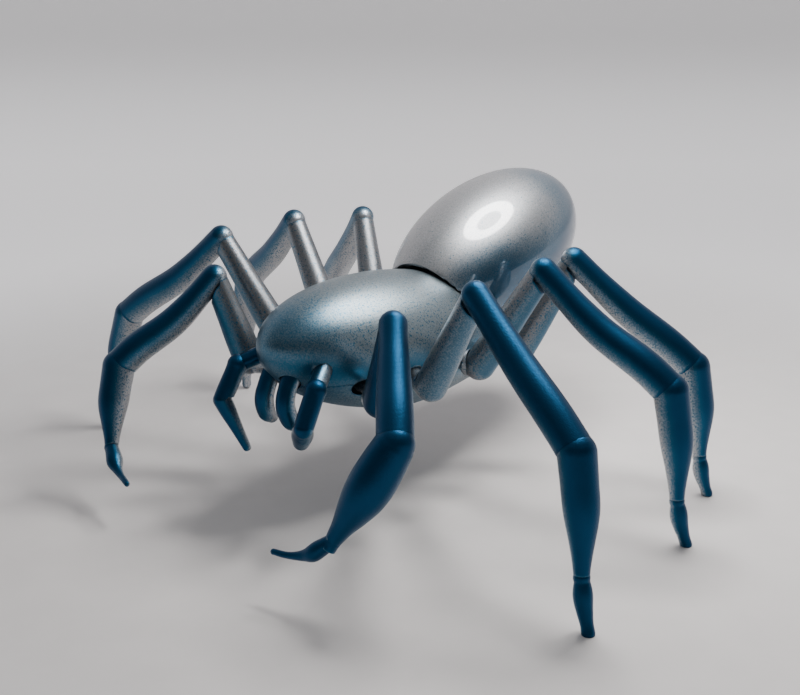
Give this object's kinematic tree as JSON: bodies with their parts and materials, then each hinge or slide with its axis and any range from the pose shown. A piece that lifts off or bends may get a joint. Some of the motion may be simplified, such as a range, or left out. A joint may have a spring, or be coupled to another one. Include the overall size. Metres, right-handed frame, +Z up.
{
  "type": "posable spider figure",
  "caption": "Posable spider figure with jointed legs, pedipalps, fangs and a hinged abdomen, sprayed silver and candy blue.",
  "frame": {"origin": "centre of the footprint of the whole figure, on the floor", "axes": "+Z up, the head looks along -Y, +X to the figure's left"},
  "size_m": [0.2447, 0.1974, 0.1084],
  "materials": {
    "thorax_paint": "satin metallic silver spray on printed plastic, with a mist of blue speckle at the front and sides",
    "abdomen_paint": "polished metallic silver spray on printed plastic, fading to blue at the rear",
    "silver_paint": "satin metallic silver spray on printed plastic",
    "blue_paint": "candy blue over metallic silver on printed plastic, fading to bare silver on inner faces"
  },
  "bodies": {
    "body": {"carapace": "thorax_paint", "sternum": "thorax_paint", "left_palp_root": "silver_paint", "right_palp_root": "silver_paint"},
    "left_leg_1_coxa": {"left_leg_1_coxa": "silver_paint"},
    "left_leg_1_femur": {"left_leg_1_femur": "blue_paint"},
    "left_leg_1_tibia": {"left_leg_1_tibia": "blue_paint"},
    "left_leg_1_metatarsus": {"left_leg_1_metatarsus": "blue_paint", "left_leg_1_tarsus": "blue_paint"},
    "left_leg_2_coxa": {"left_leg_2_coxa": "silver_paint"},
    "left_leg_2_femur": {"left_leg_2_femur": "blue_paint"},
    "left_leg_2_tibia": {"left_leg_2_tibia": "blue_paint"},
    "left_leg_2_metatarsus": {"left_leg_2_metatarsus": "blue_paint", "left_leg_2_tarsus": "blue_paint"},
    "left_leg_3_coxa": {"left_leg_3_coxa": "silver_paint"},
    "left_leg_3_femur": {"left_leg_3_femur": "blue_paint"},
    "left_leg_3_tibia": {"left_leg_3_tibia": "blue_paint"},
    "left_leg_3_metatarsus": {"left_leg_3_metatarsus": "blue_paint", "left_leg_3_tarsus": "blue_paint"},
    "left_leg_4_coxa": {"left_leg_4_coxa": "silver_paint"},
    "left_leg_4_femur": {"left_leg_4_femur": "blue_paint"},
    "left_leg_4_tibia": {"left_leg_4_tibia": "blue_paint"},
    "left_leg_4_metatarsus": {"left_leg_4_metatarsus": "blue_paint", "left_leg_4_tarsus": "blue_paint"},
    "left_palp_femur": {"left_palp_femur": "blue_paint"},
    "left_palp_tarsus": {"left_palp_tarsus": "blue_paint"},
    "left_chelicera": {"left_chelicera": "blue_paint"},
    "right_leg_1_coxa": {"right_leg_1_coxa": "silver_paint"},
    "right_leg_1_femur": {"right_leg_1_femur": "blue_paint"},
    "right_leg_1_tibia": {"right_leg_1_tibia": "blue_paint"},
    "right_leg_1_metatarsus": {"right_leg_1_metatarsus": "blue_paint", "right_leg_1_tarsus": "blue_paint"},
    "right_leg_2_coxa": {"right_leg_2_coxa": "silver_paint"},
    "right_leg_2_femur": {"right_leg_2_femur": "blue_paint"},
    "right_leg_2_tibia": {"right_leg_2_tibia": "blue_paint"},
    "right_leg_2_metatarsus": {"right_leg_2_metatarsus": "blue_paint", "right_leg_2_tarsus": "blue_paint"},
    "right_leg_3_coxa": {"right_leg_3_coxa": "silver_paint"},
    "right_leg_3_femur": {"right_leg_3_femur": "blue_paint"},
    "right_leg_3_tibia": {"right_leg_3_tibia": "blue_paint"},
    "right_leg_3_metatarsus": {"right_leg_3_metatarsus": "blue_paint", "right_leg_3_tarsus": "blue_paint"},
    "right_leg_4_coxa": {"right_leg_4_coxa": "silver_paint"},
    "right_leg_4_femur": {"right_leg_4_femur": "blue_paint"},
    "right_leg_4_tibia": {"right_leg_4_tibia": "blue_paint"},
    "right_leg_4_metatarsus": {"right_leg_4_metatarsus": "blue_paint", "right_leg_4_tarsus": "blue_paint"},
    "right_palp_femur": {"right_palp_femur": "blue_paint"},
    "right_palp_tarsus": {"right_palp_tarsus": "blue_paint"},
    "right_chelicera": {"right_chelicera": "blue_paint"},
    "abdomen": {"abdomen": "abdomen_paint", "pedicel": "silver_paint"}
  },
  "joints": [
    {"name": "left_leg_1_swivel", "type": "hinge", "parent": "body", "child": "left_leg_1_coxa", "pos_m": [0.0121, -0.03438, 0.049], "axis": [0, 0, 1], "range_deg": [-12, 12]},
    {"name": "left_leg_1_lift", "type": "hinge", "parent": "left_leg_1_coxa", "child": "left_leg_1_femur", "pos_m": [0.0325, -0.045, 0.049], "axis": [-0.4617, -0.887, 0], "range_deg": [-30, 8]},
    {"name": "left_leg_1_knee", "type": "hinge", "parent": "left_leg_1_femur", "child": "left_leg_1_tibia", "pos_m": [0.04417, -0.05108, 0.07926], "axis": [0.6633, 0.7407, -0.1071], "range_deg": [-40, 4]},
    {"name": "left_leg_1_shin", "type": "hinge", "parent": "left_leg_1_tibia", "child": "left_leg_1_metatarsus", "pos_m": [0.06781, -0.07599, 0.05339], "axis": [0.299, 0.8092, -0.5058], "range_deg": [-30, 5]},
    {"name": "left_leg_2_swivel", "type": "hinge", "parent": "body", "child": "left_leg_2_coxa", "pos_m": [0.02173, -0.01892, 0.05], "axis": [0, 0, 1], "range_deg": [-12, 12]},
    {"name": "left_leg_2_lift", "type": "hinge", "parent": "left_leg_2_coxa", "child": "left_leg_2_femur", "pos_m": [0.0369, -0.024, 0.05], "axis": [-0.3173, -0.9483, 0], "range_deg": [-30, 8]},
    {"name": "left_leg_2_knee", "type": "hinge", "parent": "left_leg_2_femur", "child": "left_leg_2_tibia", "pos_m": [0.06188, -0.03236, 0.08832], "axis": [0.267, 0.963, 0.036], "range_deg": [-40, 4]},
    {"name": "left_leg_2_shin", "type": "hinge", "parent": "left_leg_2_tibia", "child": "left_leg_2_metatarsus", "pos_m": [0.10937, -0.0442, 0.05276], "axis": [0.1853, 0.9795, -0.0786], "range_deg": [-30, 5]},
    {"name": "left_leg_3_swivel", "type": "hinge", "parent": "body", "child": "left_leg_3_coxa", "pos_m": [0.02471, -0.00134, 0.0515], "axis": [0, 0, 1], "range_deg": [-12, 12]},
    {"name": "left_leg_3_lift", "type": "hinge", "parent": "left_leg_3_coxa", "child": "left_leg_3_femur", "pos_m": [0.038, 0.001, 0.0515], "axis": [0.1736, -0.9848, 0], "range_deg": [-30, 8]},
    {"name": "left_leg_3_knee", "type": "hinge", "parent": "left_leg_3_femur", "child": "left_leg_3_tibia", "pos_m": [0.06096, 0.00505, 0.08881], "axis": [-0.2255, 0.9737, 0.0331], "range_deg": [-40, 4]},
    {"name": "left_leg_3_shin", "type": "hinge", "parent": "left_leg_3_tibia", "child": "left_leg_3_metatarsus", "pos_m": [0.10513, 0.01647, 0.05381], "axis": [-0.2792, 0.9594, -0.0392], "range_deg": [-30, 5]},
    {"name": "left_leg_4_swivel", "type": "hinge", "parent": "body", "child": "left_leg_4_coxa", "pos_m": [0.02351, 0.0185, 0.0505], "axis": [0, 0, 1], "range_deg": [-12, 12]},
    {"name": "left_leg_4_lift", "type": "hinge", "parent": "left_leg_4_coxa", "child": "left_leg_4_femur", "pos_m": [0.0365, 0.026, 0.0505], "axis": [0.5, -0.866, 0], "range_deg": [-30, 8]},
    {"name": "left_leg_4_knee", "type": "hinge", "parent": "left_leg_4_femur", "child": "left_leg_4_tibia", "pos_m": [0.05276, 0.03539, 0.08582], "axis": [-0.4681, 0.8835, -0.0193], "range_deg": [-40, 4]},
    {"name": "left_leg_4_shin", "type": "hinge", "parent": "left_leg_4_tibia", "child": "left_leg_4_metatarsus", "pos_m": [0.0923, 0.05553, 0.04924], "axis": [-0.4611, 0.8873, -0.0097], "range_deg": [-30, 5]},
    {"name": "left_palp_hinge", "type": "hinge", "parent": "body", "child": "left_palp_femur", "pos_m": [0.0195, -0.0615, 0.0542], "axis": [0.7516, 0.5909, -0.2931], "range_deg": [-15, 10]},
    {"name": "left_palp_elbow", "type": "hinge", "parent": "left_palp_femur", "child": "left_palp_tarsus", "pos_m": [0.0204, -0.0683, 0.0428], "axis": [0.7631, 0.5798, -0.2856], "range_deg": [-20, 8]},
    {"name": "left_chelicera_hinge", "type": "hinge", "parent": "body", "child": "left_chelicera", "pos_m": [0.0049, -0.0578, 0.0554], "axis": [1, 0, 0], "range_deg": [-8, 8]},
    {"name": "right_leg_1_swivel", "type": "hinge", "parent": "body", "child": "right_leg_1_coxa", "pos_m": [-0.01233, -0.03502, 0.049], "axis": [0, 0, -1], "range_deg": [-12, 12]},
    {"name": "right_leg_1_lift", "type": "hinge", "parent": "right_leg_1_coxa", "child": "right_leg_1_femur", "pos_m": [-0.033, -0.0451, 0.049], "axis": [-0.4384, 0.8988, 0], "range_deg": [-30, 8]},
    {"name": "right_leg_1_knee", "type": "hinge", "parent": "right_leg_1_femur", "child": "right_leg_1_tibia", "pos_m": [-0.04394, -0.05044, 0.07913], "axis": [0.7343, -0.6622, 0.1494], "range_deg": [-40, 4]},
    {"name": "right_leg_1_shin", "type": "hinge", "parent": "right_leg_1_tibia", "child": "right_leg_1_metatarsus", "pos_m": [-0.06425, -0.07998, 0.04797], "axis": [0.4283, -0.7784, 0.4589], "range_deg": [-30, 5]},
    {"name": "right_leg_2_swivel", "type": "hinge", "parent": "body", "child": "right_leg_2_coxa", "pos_m": [-0.02014, -0.02186, 0.051], "axis": [0, 0, -1], "range_deg": [-12, 12]},
    {"name": "right_leg_2_lift", "type": "hinge", "parent": "right_leg_2_coxa", "child": "right_leg_2_femur", "pos_m": [-0.0356, -0.026, 0.051], "axis": [-0.2588, 0.9659, 0], "range_deg": [-30, 8]},
    {"name": "right_leg_2_knee", "type": "hinge", "parent": "right_leg_2_femur", "child": "right_leg_2_tibia", "pos_m": [-0.06081, -0.03275, 0.08827], "axis": [0.2533, -0.9674, -0.004], "range_deg": [-40, 4]},
    {"name": "right_leg_2_shin", "type": "hinge", "parent": "right_leg_2_tibia", "child": "right_leg_2_metatarsus", "pos_m": [-0.10728, -0.04477, 0.05144], "axis": [0.2216, -0.9744, 0.0383], "range_deg": [-30, 5]},
    {"name": "right_leg_3_swivel", "type": "hinge", "parent": "body", "child": "right_leg_3_coxa", "pos_m": [-0.02325, -0.00258, 0.0525], "axis": [0, 0, -1], "range_deg": [-12, 12]},
    {"name": "right_leg_3_lift", "type": "hinge", "parent": "right_leg_3_coxa", "child": "right_leg_3_femur", "pos_m": [-0.0365, 0, 0.0525], "axis": [0.1908, 0.9816, 0], "range_deg": [-30, 8]},
    {"name": "right_leg_3_knee", "type": "hinge", "parent": "right_leg_3_femur", "child": "right_leg_3_tibia", "pos_m": [-0.06096, 0.00475, 0.08876], "axis": [-0.2353, -0.9714, -0.0314], "range_deg": [-40, 4]},
    {"name": "right_leg_3_shin", "type": "hinge", "parent": "right_leg_3_tibia", "child": "right_leg_3_metatarsus", "pos_m": [-0.10503, 0.01656, 0.05376], "axis": [-0.2706, -0.9626, 0.016], "range_deg": [-30, 5]},
    {"name": "right_leg_4_swivel", "type": "hinge", "parent": "body", "child": "right_leg_4_coxa", "pos_m": [-0.02264, 0.01777, 0.051], "axis": [0, 0, -1], "range_deg": [-12, 12]},
    {"name": "right_leg_4_lift", "type": "hinge", "parent": "right_leg_4_coxa", "child": "right_leg_4_femur", "pos_m": [-0.0355, 0.0255, 0.051], "axis": [0.515, 0.8572, 0], "range_deg": [-30, 8]},
    {"name": "right_leg_4_knee", "type": "hinge", "parent": "right_leg_4_femur", "child": "right_leg_4_tibia", "pos_m": [-0.05281, 0.0359, 0.08668], "axis": [-0.4737, -0.8803, 0.0268], "range_deg": [-40, 4]},
    {"name": "right_leg_4_shin", "type": "hinge", "parent": "right_leg_4_tibia", "child": "right_leg_4_metatarsus", "pos_m": [-0.09273, 0.05624, 0.04908], "axis": [-0.4594, -0.8882, 0.0072], "range_deg": [-30, 5]},
    {"name": "right_palp_hinge", "type": "hinge", "parent": "body", "child": "right_palp_femur", "pos_m": [-0.0195, -0.0615, 0.0542], "axis": [0.7516, -0.5909, 0.2931], "range_deg": [-15, 10]},
    {"name": "right_palp_elbow", "type": "hinge", "parent": "right_palp_femur", "child": "right_palp_tarsus", "pos_m": [-0.0204, -0.0683, 0.0428], "axis": [0.7928, -0.5489, 0.2649], "range_deg": [-20, 8]},
    {"name": "right_chelicera_hinge", "type": "hinge", "parent": "body", "child": "right_chelicera", "pos_m": [-0.0049, -0.0578, 0.0554], "axis": [1, 0, 0], "range_deg": [-8, 8]},
    {"name": "abdomen_pitch", "type": "hinge", "parent": "body", "child": "abdomen", "pos_m": [0, 0.015, 0.0682], "axis": [1, 0, 0], "range_deg": [0, 10]}
  ]
}
